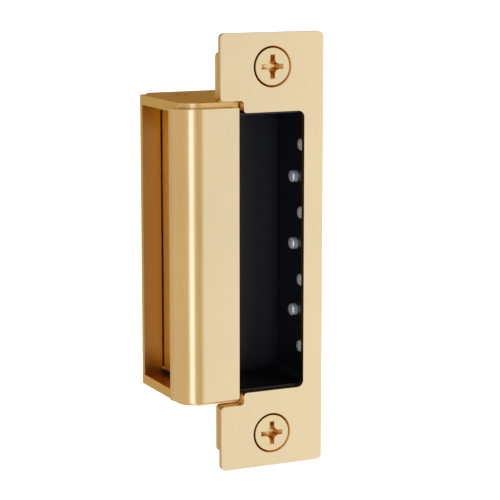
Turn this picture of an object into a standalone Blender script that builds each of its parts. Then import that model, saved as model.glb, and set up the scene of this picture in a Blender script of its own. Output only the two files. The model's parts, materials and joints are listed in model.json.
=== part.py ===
"""Electric door strike with a swinging keeper.

Frame: origin at the centre of the faceplate's front face, +X across the plate away from the
keeper's lip, +Y into the door jamb, +Z up. Lengths below are millimetres; meshes are in metres.
"""

import math

import bmesh
import bpy
from mathutils import Matrix, Vector

MM = 0.001

# --- Driving dimensions, mm -------------------------------------------------------------------

# Faceplate: 4-7/8 x 1-1/4 in, with screws 4-1/8 in apart.
PLATE_HALF_WIDTH = 15.875
PLATE_HALF_HEIGHT = 61.9125
PLATE_THICK = 1.6
PLATE_CORNER = 1.5
OPENING_RIGHT = 9.96
OPENING_HALF_HEIGHT = 39.8
OPENING_CORNER = 1.9
NOTCH_RIGHT = -8.8
NOTCH_HALF_HEIGHT = 43.25
NOTCH_CORNER = 1.0
SCREW_HEIGHT = 52.3875

# Flat-head faceplate screws and their countersunk seats.
SEAT_RADIUS, SEAT_BORE, SEAT_DEPTH = 5.85, 3.1, 3.2
SCREW_FACE, SCREW_HEAD = 5.15, 5.25
SCREW_EDGE, SCREW_LAND = 0.1, 0.35
SCREW_NECK, SCREW_NECK_DEPTH = 2.7, 3.4
SCREW_ROOT, SCREW_CREST = 2.3, 2.75
SCREW_LENGTH, SCREW_PITCH = 12.7, 1.3
SCREW_POINT = 0.9
RECESS_ARM, RECESS_WING = 3.6, 0.76
RECESS_FLARE, RECESS_FLARE_ARM = 1.2, 2.0
RECESS_DEPTH, RECESS_TAPER = 2.4, 0.45

# Mounting flange, the layer behind the faceplate.
FLANGE_FRONT = 1.75
FLANGE_BACK = 3.7
FLANGE_HALF_HEIGHT = 56.8
FLANGE_OPENING_RIGHT = 12.95
FLANGE_OPENING_HALF_HEIGHT = 39.9
FLANGE_OPENING_CORNER = 3.4
FLANGE_NOTCH_HALF_HEIGHT = 43.0

# Keeper frame: two bearing plates and a rail at the back left.
FRAME_LEFT = -25.6
FRAME_RIGHT = 14.7
FRAME_FRONT = 3.0
FRAME_FRONT_BEHIND_FLANGE = 4.0
FRAME_NOSE_RIGHT = -9.1
FRAME_BACK = 39.4
FRAME_STEP_X = -22.0
FRAME_STEP_Y = 35.2
FRAME_NOSE_CORNER = 5.5
BEARING_INNER = 39.9
BEARING_OUTER = 42.75
RAIL_FRONT = 33.2
RAIL_RIGHT = -19.95
TAPPED_RADIUS = 1.05        # the side cover's screw holes

# Keeper.
HINGE_X, HINGE_Y = -15.2, 28.3
HINGE_PIN_RADIUS = 1.9
HINGE_PIN_CHAMFER = 0.25
HINGE_PIN_SUNK = 0.1        # its ends lie this far inside the bearing plates' outer faces
KEEPER_RIGHT = -10.2
KEEPER_LEFT = -28.3
KEEPER_ROUND = 7.5
KEEPER_WALL = 2.2
KEEPER_HALF_HEIGHT = 41.3
WEB_LEFT, WEB_RIGHT = -19.65, -10.6
WEB_BACK = 32.9
WEB_LEFT_EDGE, WEB_RIGHT_EDGE = 0.4, 1.0
WEB_HALF_HEIGHT = 38.6
SPRING_SLOT_HALF = 6.0
SPRING_SLOT_FRONT = 24.9
SPRING_SLOT_LEFT = -18.6

# Torsion spring round the hinge pin.
KEEPER_SPRING_RADIUS = 2.6
KEEPER_SPRING_WIRE = 0.32
KEEPER_SPRING_HALF = 3.6
KEEPER_SPRING_TURNS = 5.25
KEEPER_SPRING_FIXED_LEG = 9.5
KEEPER_SPRING_MOVING_LEG = 3.6

# Pocket liner.
LINER_LEFT = -9.0
LINER_INNER_RIGHT = 12.1
LINER_OUTER_RIGHT = 12.7
LINER_INNER_HALF = 39.1
LINER_OUTER_HALF = 39.7
LINER_FRONT = 1.9
LINER_INNER_BACK = 21.4
LINER_OUTER_BACK = 24.8
LINER_CORNER = 2.6
LINER_BACK_FILLET = 0.9

# Latch pins: a near column of four and a deep column of three, staggered.
LATCH_PIN_RADIUS = 1.8
LATCH_PIN_PITCH = 9.75
LATCH_PIN_NEAR_Y = 4.3
LATCH_PIN_DEEP_Y = 9.8
LATCH_PIN_COUNT = 7
LATCH_PIN_CENTRE_Z = 0.45
LATCH_PIN_FLANGE_RADIUS = 2.6
LATCH_PIN_FLANGE_THICK = 0.5
LATCH_PIN_SEAT_RADIUS, LATCH_PIN_SEAT_HEIGHT = 0.8, 0.2
LATCH_PIN_NOSE = 1.9        # how far a pin stands out of the liner's wall
LATCH_PIN_SQUARENESS = 0.55  # below 1 the nose is flatter than a hemisphere, with fuller shoulders
LATCH_SPRING_WIRE, LATCH_SPRING_TURNS = 0.12, 2.0
LATCH_SPRING_RADII = (1.25, 2.15)

# Side cover.
SIDE_COVER_LEFT, SIDE_COVER_RIGHT = 14.95, 15.5
SIDE_SCREW_DEPTHS = (10.0, 33.0)
SIDE_SCREW_Z = (BEARING_INNER + BEARING_OUTER) / 2
SIDE_SCREW = {"head_radius": 1.45, "head_height": 0.33, "shank_radius": 0.85, "length": 4.5}

# Rear cover and the posts that hold it.
REAR_COVER_FRONT, REAR_COVER_BACK = 38.2, 39.4
REAR_COVER_LEFT, REAR_COVER_RIGHT = -19.9, 14.5
REAR_COVER_HALF = 39.6
REAR_SCREW_XS = (-4.5, 11.0)
REAR_SCREW_Z = 36.8
REAR_SCREW = {"head_radius": 2.1, "head_height": 0.8, "shank_radius": 1.1, "length": 5.5}
REAR_SCREW_HOLE = 1.3
POST_LEFT, POST_RIGHT = -7.5, 14.4
POST_INNER_Z, POST_OUTER_Z = 34.0, 39.6
POST_HOLE_DEPTH = 6.0

# Lock bar and solenoid, on one axis along X.
LOCK_Y = 31.6
LOCK_NOSE_X, LOCK_BACK_X = -8.6, -6.2
LOCK_FRONT_Y, LOCK_REAR_Y = 30.0, 34.0
LOCK_HALF_HEIGHT = 14.0
GUIDE_LEFT, GUIDE_RIGHT, GUIDE_FRONT = -8.8, -4.9, 28.0
GUIDE_INNER_Z, GUIDE_OUTER_Z, GUIDE_MOUTH_Z = 12.6, 17.5, 11.0
PUSH_ROD_RADIUS = 1.0
ARMATURE_RADIUS = 2.5
ARMATURE_LEFT, ARMATURE_RIGHT = 2.4, 11.6
ARMATURE_HEAD_RADIUS, ARMATURE_HEAD_THICK = 3.9, 0.8
RETURN_SPRING_RADIUS, RETURN_SPRING_WIRE, RETURN_SPRING_TURNS = 3.1, 0.22, 3.0
SOLENOID_LEFT, SOLENOID_RIGHT = -4.0, 7.5
SOLENOID_FRONT_Y, SOLENOID_BACK_Y = 26.2, 37.9
SOLENOID_HALF_HEIGHT = 6.0
SOLENOID_SHEET = 1.0
BOBBIN_FLANGE_RADIUS, BOBBIN_FLANGE_THICK = 5.0, 0.8
BOBBIN_TUBE_RADIUS = 3.6
SOLENOID_SCREW_SPREAD = 3.0
SOLENOID_SCREW = {"head_radius": 1.8, "head_height": 0.7, "shank_radius": 1.1, "length": 2.2}

# Snap switches: case of 5.8 x 6.5 x 12.8 mm, with a button that points towards -X.
SWITCH_SIZE = (5.8, 6.5, 12.8)
SWITCH_BORE_RADIUS, SWITCH_BORE_DEPTH = 1.0, 2.2
BUTTON_RADIUS, BUTTON_CHAMFER, BUTTON_INSIDE = 0.85, 0.3, 0.9
KEEPER_SWITCH_CORNER = (-6.5, 27.0, 18.5)
KEEPER_SWITCH_BUTTON_Z, KEEPER_SWITCH_TIP = 25.0, -8.7
LOCK_SWITCH_CORNER = (-4.5, 28.6, -19.8)
LOCK_SWITCH_BUTTON_Z, LOCK_SWITCH_TIP = -9.5, -5.9

# Circuit board and the surge suppressor on it: lowest and highest corners.
BOARD_LOW, BOARD_HIGH = (-8.0, 35.6, -33.5), (12.5, 36.6, -20.5)
SUPPRESSOR_LOW, SUPPRESSOR_HIGH = (8.0, 32.6, -31.5), (10.2, 35.4, -22.5)

# Connector at the back.
SOCKET_LEFT, SOCKET_RIGHT = -1.0, 9.0
SOCKET_LOW, SOCKET_HIGH = -30.0, -24.0
SOCKET_FRONT, SOCKET_BACK = 37.0, 40.4
SOCKET_WALL = 0.8
CONTACT_COUNT, CONTACT_WIDTH, CONTACT_PITCH = 4, 0.64, 2.0
CONTACT_SHY = 0.4           # the contacts end this far inside the socket's mouth

GAP = 0.15                  # running clearance round pins and rods
SEATING = 0.3               # clearance between pieces that rest on each other
PAST = 5.0                  # how far a cutter runs past the faces that it cuts
ARC_STEP = math.radians(10)
KEEPER_ARC_STEP = math.radians(5)

# --- Materials: colour, metallic, roughness -----------------------------------------------------

FINISHES = {
    "satin_gold": ((0.76, 0.58, 0.33), 1.0, 0.34),
    "dark_gold": ((0.46, 0.28, 0.10), 1.0, 0.40),
    "steel": ((0.62, 0.62, 0.62), 1.0, 0.20),
    "spring_steel": ((0.45, 0.45, 0.46), 1.0, 0.30),
    "zinc": ((0.55, 0.56, 0.57), 1.0, 0.45),
    "black_liner": ((0.012, 0.012, 0.013), 0.0, 0.35),
    "black_plastic": ((0.02, 0.02, 0.022), 0.0, 0.50),
    "white_nylon": ((0.75, 0.74, 0.70), 0.0, 0.45),
    "copper": ((0.60, 0.22, 0.08), 1.0, 0.35),
    "board_green": ((0.02, 0.16, 0.07), 0.0, 0.45),
    "red_plastic": ((0.50, 0.03, 0.02), 0.0, 0.40),
}


# --- Modelling helpers ---------------------------------------------------------------------------

def clear_scene():
    for obj in list(bpy.data.objects):
        bpy.data.objects.remove(obj, do_unlink=True)


def make_collection(name):
    collection = bpy.data.collections.new(name)
    bpy.context.scene.collection.children.link(collection)
    return collection


def material(name):
    found = bpy.data.materials.get(name)
    if found:
        return found
    colour, metallic, roughness = FINISHES[name]
    made = bpy.data.materials.new(name)
    made.use_nodes = True
    shader = made.node_tree.nodes["Principled BSDF"]
    shader.inputs["Base Color"].default_value = (*colour, 1.0)
    shader.inputs["Metallic"].default_value = metallic
    shader.inputs["Roughness"].default_value = roughness
    return made


def place(name, mesh, finish=None):
    """Puts a mesh in the scene: a part when it has a finish, a cutter when it has none."""
    obj = bpy.data.objects.new(name, mesh)
    if finish:
        PARTS.objects.link(obj)
        mesh.materials.append(material(finish))
        mesh.shade_smooth()
        mesh.set_sharp_from_angle(angle=math.radians(35))
    else:
        CUTTERS.objects.link(obj)
        obj.hide_render = True
        obj.display_type = "WIRE"
    return obj


def arc(centre, radius, start, end):
    """Points of an arc between two angles in degrees."""
    start, end = math.radians(start), math.radians(end)
    count = max(2, math.ceil(abs(end - start) / KEEPER_ARC_STEP))
    return [
        (centre[0] + radius * math.cos(start + (end - start) * i / count),
         centre[1] + radius * math.sin(start + (end - start) * i / count))
        for i in range(count + 1)
    ]


def rounded(corners):
    """Outline through (x, y, radius) corners, with each corner filleted by its radius."""
    outline = []
    for i, (x, y, radius) in enumerate(corners):
        corner = Vector((x, y))
        before = (Vector(corners[i - 1][:2]) - corner).normalized()
        after = (Vector(corners[(i + 1) % len(corners)][:2]) - corner).normalized()
        if radius == 0:
            outline.append((x, y))
            continue
        half = before.angle(after) / 2
        centre = corner + (before + after).normalized() * radius / math.sin(half)
        start = corner + before * radius / math.tan(half) - centre
        turn = (corner + after * radius / math.tan(half) - centre).angle_signed(start)
        count = max(2, math.ceil(abs(turn) / ARC_STEP))
        for k in range(count + 1):
            point = centre + Matrix.Rotation(turn * k / count, 2) @ start
            outline.append((point.x, point.y))
    return outline


def extruded(outlines, low, high, plane="XY"):
    """Mesh of flat closed outlines, first the outer one and then any holes, between two levels.

    In plane XY the outline is seen from above and rises along Z. In plane XZ it is seen from the
    front and runs along Y.
    """
    curve = bpy.data.curves.new("outline", "CURVE")
    curve.dimensions = "2D"
    curve.fill_mode = "BOTH"
    curve.extrude = (high - low) / 2 * MM
    for outline in outlines:
        spline = curve.splines.new("POLY")
        spline.points.add(len(outline) - 1)
        for point, (x, y) in zip(spline.points, outline):
            point.co = (x * MM, y * MM, 0, 1)
        spline.use_cyclic_u = True
    obj = bpy.data.objects.new("outline", curve)
    middle = (low + high) / 2 * MM
    if plane == "XY":
        obj.matrix_world = Matrix.Translation((0, 0, middle))
    else:
        obj.matrix_world = Matrix.Translation((0, middle, 0)) @ Matrix.Rotation(math.pi / 2, 4, "X")
    return curve_to_mesh(obj)


def curve_to_mesh(obj):
    """Mesh of a curve object in world space, with its caps welded on; the curve is removed."""
    CUTTERS.objects.link(obj)
    bpy.context.view_layer.update()
    evaluated = obj.evaluated_get(bpy.context.evaluated_depsgraph_get())
    mesh = bpy.data.meshes.new_from_object(evaluated)
    bm = bmesh.new()
    bm.from_mesh(mesh)
    bmesh.ops.remove_doubles(bm, verts=bm.verts, dist=1e-6)
    bmesh.ops.recalc_face_normals(bm, faces=bm.faces)
    bm.to_mesh(mesh)
    bm.free()
    mesh.transform(obj.matrix_world)
    bpy.data.objects.remove(obj, do_unlink=True)
    mesh.materials.clear()
    return mesh


def box_mesh(low, high):
    bm = bmesh.new()
    bmesh.ops.create_cube(bm, size=1)
    size = Vector(high) - Vector(low)
    centre = (Vector(high) + Vector(low)) / 2
    bmesh.ops.scale(bm, vec=size * MM, verts=bm.verts)
    bmesh.ops.translate(bm, vec=centre * MM, verts=bm.verts)
    mesh = bpy.data.meshes.new("box")
    bm.to_mesh(mesh)
    bm.free()
    return mesh


def rods_mesh(axis, radius, low, high, centres, sides=32):
    """Mesh of one or more round rods along a world axis between two levels of that axis."""
    turn = {
        "X": Matrix.Rotation(math.pi / 2, 4, "Y"),
        "Y": Matrix.Rotation(-math.pi / 2, 4, "X"),
        "Z": Matrix.Identity(4),
    }[axis]
    along = {"X": Vector((1, 0, 0)), "Y": Vector((0, 1, 0)), "Z": Vector((0, 0, 1))}[axis]
    bm = bmesh.new()
    for centre in centres:
        middle = (Vector(centre) + along * (low + high) / 2) * MM
        bmesh.ops.create_cone(
            bm, cap_ends=True, segments=sides, radius1=radius * MM, radius2=radius * MM,
            depth=(high - low) * MM, matrix=Matrix.Translation(middle) @ turn,
        )
    mesh = bpy.data.meshes.new("rods")
    bm.to_mesh(mesh)
    bm.free()
    return mesh


def turned(name, profile, facing, centre, finish=None, steps=24, closed=False):
    """A turned piece: its profile of (radius, height) runs down its outer side.

    facing is the world direction of its top, "-X", "-Y", "+Y", "+X" or "+Z", and centre is the
    point where height 0 lies. A closed profile makes a ring.
    """
    mesh = bpy.data.meshes.new(name)
    start = math.pi / steps
    points = [
        (radius * MM * math.cos(start), radius * MM * math.sin(start), height * MM)
        for radius, height in profile
    ]
    edges = [(i, i + 1) for i in range(len(points) - 1)]
    if closed:
        edges.append((len(points) - 1, 0))
    mesh.from_pydata(points, edges, [])
    obj = place(name, mesh, finish)
    half = math.pi / 2
    rotation = {
        "-X": (0, -half, 0), "+X": (0, half, 0), "-Y": (half, 0, 0), "+Y": (-half, 0, 0),
        "+Z": (0, 0, 0),
    }[facing]
    obj.location = Vector(centre) * MM
    obj.rotation_euler = rotation
    screw = obj.modifiers.new("Turn", "SCREW")
    screw.steps = steps
    screw.render_steps = steps
    screw.use_merge_vertices = True
    screw.merge_threshold = 1e-6
    screw.use_smooth_shade = True
    return obj


def boolean(obj, other, operation="DIFFERENCE"):
    modifier = obj.modifiers.new(operation.title(), "BOOLEAN")
    modifier.operation = operation
    modifier.solver = "EXACT"
    modifier.object = other


def soften(obj, width, segments=2, angle=50):
    modifier = obj.modifiers.new("Soften", "BEVEL")
    modifier.width = width * MM
    modifier.segments = segments
    modifier.limit_method = "ANGLE"
    modifier.angle_limit = math.radians(angle)
    modifier.use_clamp_overlap = True


def box(name, low, high, finish=None, edge=0.0):
    obj = place(name, box_mesh(low, high), finish)
    if edge:
        soften(obj, edge)
    return obj


def wire(name, points, radius, finish):
    """A bent wire through points in mm."""
    curve = bpy.data.curves.new(name, "CURVE")
    curve.dimensions = "3D"
    curve.bevel_depth = radius * MM
    curve.bevel_resolution = 1
    curve.use_fill_caps = True
    spline = curve.splines.new("POLY")
    spline.points.add(len(points) - 1)
    for point, place_mm in zip(spline.points, points):
        point.co = (*(Vector(place_mm) * MM), 1)
    return place(name, curve_to_mesh(bpy.data.objects.new(name, curve)), finish)


def pivot_at(obj, point):
    """Moves an object's origin to a point on its joint's axis, with the piece staying put."""
    shift = Vector(point) * MM - obj.location
    obj.data.transform(Matrix.Translation(-shift))
    obj.location += shift


# --- Faceplate, flange and their screws ----------------------------------------------------------

def plate_outline(half_height, opening_right, opening_half, opening_corner, notch):
    """Outline of a plate whose latch opening and notch run out through its left edge."""
    width, corner = PLATE_HALF_WIDTH, PLATE_CORNER
    upper = [
        (opening_right, opening_half, opening_corner),
        (NOTCH_RIGHT, opening_half, NOTCH_CORNER),
        (NOTCH_RIGHT, notch, NOTCH_CORNER),
        (-width, notch, NOTCH_CORNER),
        (-width, half_height, corner),
        (width, half_height, corner),
    ]
    lower = [(x, -z, radius) for x, z, radius in reversed(upper)]
    return rounded(upper + lower)


def screw_seat(name, height):
    """Cutter for one countersunk hole through the faceplate and the flange."""
    return turned(name, [
        (0, PAST), (SEAT_RADIUS, PAST), (SEAT_RADIUS, 0), (SEAT_BORE, -SEAT_DEPTH),
        (SEAT_BORE, -SEAT_DEPTH - PAST), (0, -SEAT_DEPTH - PAST),
    ], "-Y", (0, 0, height), steps=40)


def cross_recess(name, height):
    """Cutter for a cross recess: four flared wings that taper towards its floor."""
    wing = [
        (RECESS_ARM, -RECESS_WING), (RECESS_ARM, RECESS_WING), (RECESS_FLARE_ARM, RECESS_WING),
        (RECESS_FLARE, RECESS_FLARE), (RECESS_WING, RECESS_FLARE_ARM),
    ]
    outline = []
    for turns in range(4):
        spin = Matrix.Rotation(turns * math.pi / 2, 2)
        outline += [tuple(spin @ Vector(point)) for point in wing]
    mesh = extruded([outline], -SEATING, RECESS_DEPTH, "XZ")
    for vertex in mesh.vertices:
        if vertex.co.y > 0:
            vertex.co.x *= RECESS_TAPER
            vertex.co.z *= RECESS_TAPER
    recess = place(name, mesh)
    recess.location.z = height * MM
    return recess


def faceplate_screw(name, height):
    """Flat-head screw with a cross recess and a threaded shank."""
    profile = [
        (0, 0), (SCREW_FACE, 0), (SCREW_HEAD, -SCREW_EDGE), (SCREW_HEAD, -SCREW_LAND),
        (SCREW_NECK, -SCREW_NECK_DEPTH),
    ]
    threads = int((SCREW_LENGTH - SCREW_POINT - SCREW_NECK_DEPTH) / SCREW_PITCH)
    for i in range(threads):
        depth = SCREW_NECK_DEPTH + SCREW_PITCH * (i + 0.5)
        profile += [(SCREW_ROOT, -depth), (SCREW_CREST, -depth - SCREW_PITCH / 2)]
    profile += [
        (SCREW_ROOT, SCREW_POINT - SCREW_LENGTH), (SCREW_ROOT - SCREW_POINT, -SCREW_LENGTH),
        (0, -SCREW_LENGTH),
    ]
    screw = turned(name, profile, "-Y", (0, 0, height), "satin_gold", steps=28)
    boolean(screw, cross_recess(name + "_recess", height))


def front_plates():
    face = place("faceplate", extruded([plate_outline(
        PLATE_HALF_HEIGHT, OPENING_RIGHT, OPENING_HALF_HEIGHT, OPENING_CORNER, NOTCH_HALF_HEIGHT,
    )], 0, PLATE_THICK, "XZ"), "satin_gold")
    soften(face, 0.25)
    flange = place("mounting_flange", extruded([plate_outline(
        FLANGE_HALF_HEIGHT, FLANGE_OPENING_RIGHT, FLANGE_OPENING_HALF_HEIGHT,
        FLANGE_OPENING_CORNER, FLANGE_NOTCH_HALF_HEIGHT,
    )], FLANGE_FRONT, FLANGE_BACK, "XZ"), "dark_gold")
    near_pins = [(0, y, z) for y, z in latch_pin_centres() if y == LATCH_PIN_NEAR_Y]
    boolean(flange, place("pin_reliefs", rods_mesh(
        "X", LATCH_PIN_FLANGE_RADIUS + SEATING, LINER_INNER_RIGHT, SIDE_COVER_LEFT, near_pins, 20,
    )))
    for side, height in (("upper", SCREW_HEIGHT), ("lower", -SCREW_HEIGHT)):
        seat = screw_seat("seat_" + side, height)
        boolean(face, seat)
        boolean(flange, seat)
        faceplate_screw("faceplate_screw_" + side, height)


# --- Keeper frame and keeper -----------------------------------------------------------------------

def hinge_bore(name):
    half = BEARING_OUTER + PAST
    return place(name, rods_mesh(
        "Z", HINGE_PIN_RADIUS + GAP, -half, half, [(HINGE_X, HINGE_Y, 0)], 40,
    ))


def keeper_frame():
    plate = rounded([
        (FRAME_LEFT, FRAME_FRONT, FRAME_NOSE_CORNER),
        (FRAME_NOSE_RIGHT, FRAME_FRONT, 0),
        (FRAME_NOSE_RIGHT, FRAME_FRONT_BEHIND_FLANGE, 0),
        (FRAME_RIGHT, FRAME_FRONT_BEHIND_FLANGE, 0),
        (FRAME_RIGHT, FRAME_BACK, 0),
        (FRAME_STEP_X, FRAME_BACK, 0.6),
        (FRAME_STEP_X, FRAME_STEP_Y, 0),
        (FRAME_LEFT, FRAME_STEP_Y, 0.4),
    ])
    # Between the bearing plates everything is open but the rail at the back left.
    window = rounded([
        (FRAME_LEFT - PAST, FRAME_FRONT - PAST, 0),
        (FRAME_RIGHT + PAST, FRAME_FRONT - PAST, 0),
        (FRAME_RIGHT + PAST, FRAME_BACK + PAST, 0),
        (FRAME_LEFT + 1, FRAME_BACK + PAST, 0),
        (FRAME_LEFT + 1, REAR_COVER_FRONT, 0),
        (RAIL_RIGHT, REAR_COVER_FRONT, 0),
        (RAIL_RIGHT, RAIL_FRONT, 0),
        (FRAME_LEFT - PAST, RAIL_FRONT, 0),
    ])
    frame = place("keeper_frame", extruded([plate], -BEARING_OUTER, BEARING_OUTER), "dark_gold")
    boolean(frame, place("frame_window", extruded([window], -BEARING_INNER, BEARING_INNER)))
    soften(frame, 0.2, 1)
    boolean(frame, hinge_bore("frame_bore"))
    tapped = [(0, y, z) for y in SIDE_SCREW_DEPTHS for z in (-SIDE_SCREW_Z, SIDE_SCREW_Z)]
    boolean(frame, place("side_screw_bores", rods_mesh(
        "X", TAPPED_RADIUS, FRAME_RIGHT - PAST, FRAME_RIGHT + PAST, tapped, 20,
    )))


def keeper():
    centre = (KEEPER_LEFT + KEEPER_ROUND, KEEPER_ROUND)
    hook = [(KEEPER_RIGHT, KEEPER_WALL), (KEEPER_RIGHT, 0)]
    hook += arc(centre, KEEPER_ROUND, 270, 180)
    hook += arc(centre, KEEPER_ROUND - KEEPER_WALL, 180, 270)
    web = rounded([
        (WEB_LEFT, KEEPER_WALL / 2, 0), (WEB_RIGHT, KEEPER_WALL / 2, 0),
        (WEB_RIGHT, WEB_BACK, WEB_RIGHT_EDGE), (WEB_LEFT, WEB_BACK, WEB_LEFT_EDGE),
    ])
    body = place("keeper", extruded([hook], -KEEPER_HALF_HEIGHT, KEEPER_HALF_HEIGHT), "satin_gold")
    boolean(body, place("web", extruded([web], -WEB_HALF_HEIGHT, WEB_HALF_HEIGHT)), "UNION")
    soften(body, 0.35)
    boolean(body, hinge_bore("keeper_bore"))
    boolean(body, box(
        "spring_slot", (SPRING_SLOT_LEFT, SPRING_SLOT_FRONT, -SPRING_SLOT_HALF),
        (WEB_RIGHT + PAST, WEB_BACK + PAST, SPRING_SLOT_HALF),
    ))
    pivot_at(body, (HINGE_X, HINGE_Y, 0))


def hinge_pin():
    half, radius, chamfer = BEARING_OUTER - HINGE_PIN_SUNK, HINGE_PIN_RADIUS, HINGE_PIN_CHAMFER
    turned("keeper_hinge_pin", [
        (0, half), (radius - chamfer, half), (radius, half - chamfer),
        (radius, chamfer - half), (radius - chamfer, -half), (0, -half),
    ], "+Z", (HINGE_X, HINGE_Y, 0), "dark_gold", steps=40)


def keeper_spring():
    """Torsion spring on the hinge pin: one leg on the liner's back, one on the keeper's cheek."""
    radius, half, per_turn = KEEPER_SPRING_RADIUS, KEEPER_SPRING_HALF, 12
    points = [(HINGE_X + KEEPER_SPRING_FIXED_LEG, HINGE_Y - radius, -half)]
    count = int(KEEPER_SPRING_TURNS * per_turn)
    for i in range(count + 1):
        angle = math.radians(270) - 2 * math.pi * i / per_turn
        points.append((
            HINGE_X + radius * math.cos(angle), HINGE_Y + radius * math.sin(angle),
            -half + 2 * half * i / count,
        ))
    points.append((HINGE_X - radius, HINGE_Y + KEEPER_SPRING_MOVING_LEG, half))
    wire("keeper_spring", points, KEEPER_SPRING_WIRE, "spring_steel")


# --- Pocket liner and latch pins ---------------------------------------------------------------------

def latch_pin_centres():
    """(y, z) of the pins from top to bottom, near and deep columns by turns."""
    top = LATCH_PIN_CENTRE_Z + LATCH_PIN_PITCH * (LATCH_PIN_COUNT - 1) / 2
    return [
        (LATCH_PIN_NEAR_Y if i % 2 == 0 else LATCH_PIN_DEEP_Y, top - LATCH_PIN_PITCH * i)
        for i in range(LATCH_PIN_COUNT)
    ]


def pocket_liner():
    def cup_outline(left, right, half, corner, left_corner=0):
        return rounded([
            (left, -half, left_corner), (right, -half, corner),
            (right, half, corner), (left, half, left_corner),
        ])

    wall = LINER_OUTER_RIGHT - LINER_INNER_RIGHT
    liner = place("pocket_liner", extruded(
        [cup_outline(LINER_LEFT, LINER_OUTER_RIGHT, LINER_OUTER_HALF, LINER_CORNER + wall)],
        LINER_FRONT, LINER_OUTER_BACK, "XZ",
    ), "black_liner")
    cavity = place("liner_cavity", extruded(
        [cup_outline(
            LINER_LEFT - 2 * PAST, LINER_INNER_RIGHT, LINER_INNER_HALF, LINER_CORNER, LINER_CORNER,
        )],
        LINER_FRONT - PAST, LINER_INNER_BACK, "XZ",
    ))
    soften(cavity, LINER_BACK_FILLET, 3)
    boolean(liner, cavity)
    centres = [(0, y, z) for y, z in latch_pin_centres()]
    boolean(liner, place("latch_pin_bores", rods_mesh(
        "X", LATCH_PIN_RADIUS + GAP, LINER_INNER_RIGHT - PAST, LINER_OUTER_RIGHT + PAST, centres, 22,
    )))


def latch_pins():
    """Seven sprung pins: nose, shank, flange behind the liner's wall, and a short spring seat."""
    flange_left = LINER_OUTER_RIGHT + GAP
    depth = flange_left - LINER_INNER_RIGHT
    back = depth + LATCH_PIN_FLANGE_THICK
    nose = []
    for degrees in range(0, 91, 15):
        angle = math.radians(degrees)
        nose.append((
            LATCH_PIN_RADIUS * math.sin(angle) ** LATCH_PIN_SQUARENESS,
            LATCH_PIN_NOSE * max(0.0, math.cos(angle)) ** LATCH_PIN_SQUARENESS,
        ))
    profile = nose + [
        (LATCH_PIN_RADIUS, -depth), (LATCH_PIN_FLANGE_RADIUS, -depth),
        (LATCH_PIN_FLANGE_RADIUS, -back), (LATCH_PIN_SEAT_RADIUS, -back),
        (LATCH_PIN_SEAT_RADIUS, -back - LATCH_PIN_SEAT_HEIGHT), (0, -back - LATCH_PIN_SEAT_HEIGHT),
    ]
    for number, (y, z) in enumerate(latch_pin_centres(), 1):
        turned(f"latch_pin_{number}", profile, "-X", (LINER_INNER_RIGHT, y, z), "steel", steps=20)
        latch_pin_spring(f"latch_pin_spring_{number}", y, z, LINER_INNER_RIGHT + back)


def latch_pin_spring(name, y, z, flange_back):
    """Conical spring between a pin's flange and the side cover."""
    per_turn = 10
    count = int(LATCH_SPRING_TURNS * per_turn)
    touch = 1.5 * LATCH_SPRING_WIRE
    left, right = flange_back + touch, SIDE_COVER_LEFT - touch
    small, large = LATCH_SPRING_RADII
    coil = []
    for i in range(count + 1):
        share = i / count
        angle = 2 * math.pi * i / per_turn
        radius = small + (large - small) * share
        coil.append((
            left + (right - left) * share, y + radius * math.cos(angle), z + radius * math.sin(angle),
        ))
    wire(name, coil, LATCH_SPRING_WIRE, "spring_steel")


# --- Covers ----------------------------------------------------------------------------------------------

def pan_screw(name, facing, seat, head_radius, head_height, shank_radius, length):
    """Pan-head screw whose head's underside lies on its seat."""
    turned(name, [
        (0, head_height), (head_radius * 0.7, head_height), (head_radius, head_height * 0.35),
        (head_radius, 0.02), (shank_radius, 0.02), (shank_radius, SEATING - length),
        (shank_radius - 0.25, -length), (0, -length),
    ], facing, seat, "steel", steps=16)


def side_cover():
    cover = box(
        "side_cover", (SIDE_COVER_LEFT, FRAME_FRONT_BEHIND_FLANGE, -BEARING_OUTER),
        (SIDE_COVER_RIGHT, FRAME_BACK, BEARING_OUTER), "zinc", 0.1,
    )
    spots = [(y, z) for z in (SIDE_SCREW_Z, -SIDE_SCREW_Z) for y in SIDE_SCREW_DEPTHS]
    boolean(cover, place("side_cover_bores", rods_mesh(
        "X", TAPPED_RADIUS, SIDE_COVER_LEFT - PAST, SIDE_COVER_RIGHT + PAST,
        [(0, y, z) for y, z in spots], 16,
    )))
    for number, (y, z) in enumerate(spots, 1):
        pan_screw(f"side_cover_screw_{number}", "+X", (SIDE_COVER_RIGHT, y, z), **SIDE_SCREW)


def rear_cover():
    cover = box(
        "rear_cover", (REAR_COVER_LEFT, REAR_COVER_FRONT, -REAR_COVER_HALF),
        (REAR_COVER_RIGHT, REAR_COVER_BACK, REAR_COVER_HALF), "zinc", 0.15,
    )
    boolean(cover, box(
        "socket_window", (SOCKET_LEFT - SEATING, REAR_COVER_FRONT - PAST, SOCKET_LOW - SEATING),
        (SOCKET_RIGHT + SEATING, REAR_COVER_BACK + PAST, SOCKET_HIGH + SEATING),
    ))
    corners = [(x, sign * REAR_SCREW_Z) for sign in (1, -1) for x in REAR_SCREW_XS]
    boolean(cover, place("rear_cover_bores", rods_mesh(
        "Y", REAR_SCREW_HOLE, REAR_COVER_FRONT - PAST, REAR_COVER_BACK + PAST,
        [(x, 0, z) for x, z in corners + solenoid_screw_spots()], 16,
    )))
    for number, (x, z) in enumerate(corners, 1):
        pan_screw(f"rear_cover_screw_{number}", "+Y", (x, REAR_COVER_BACK, z), **REAR_SCREW)


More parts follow.
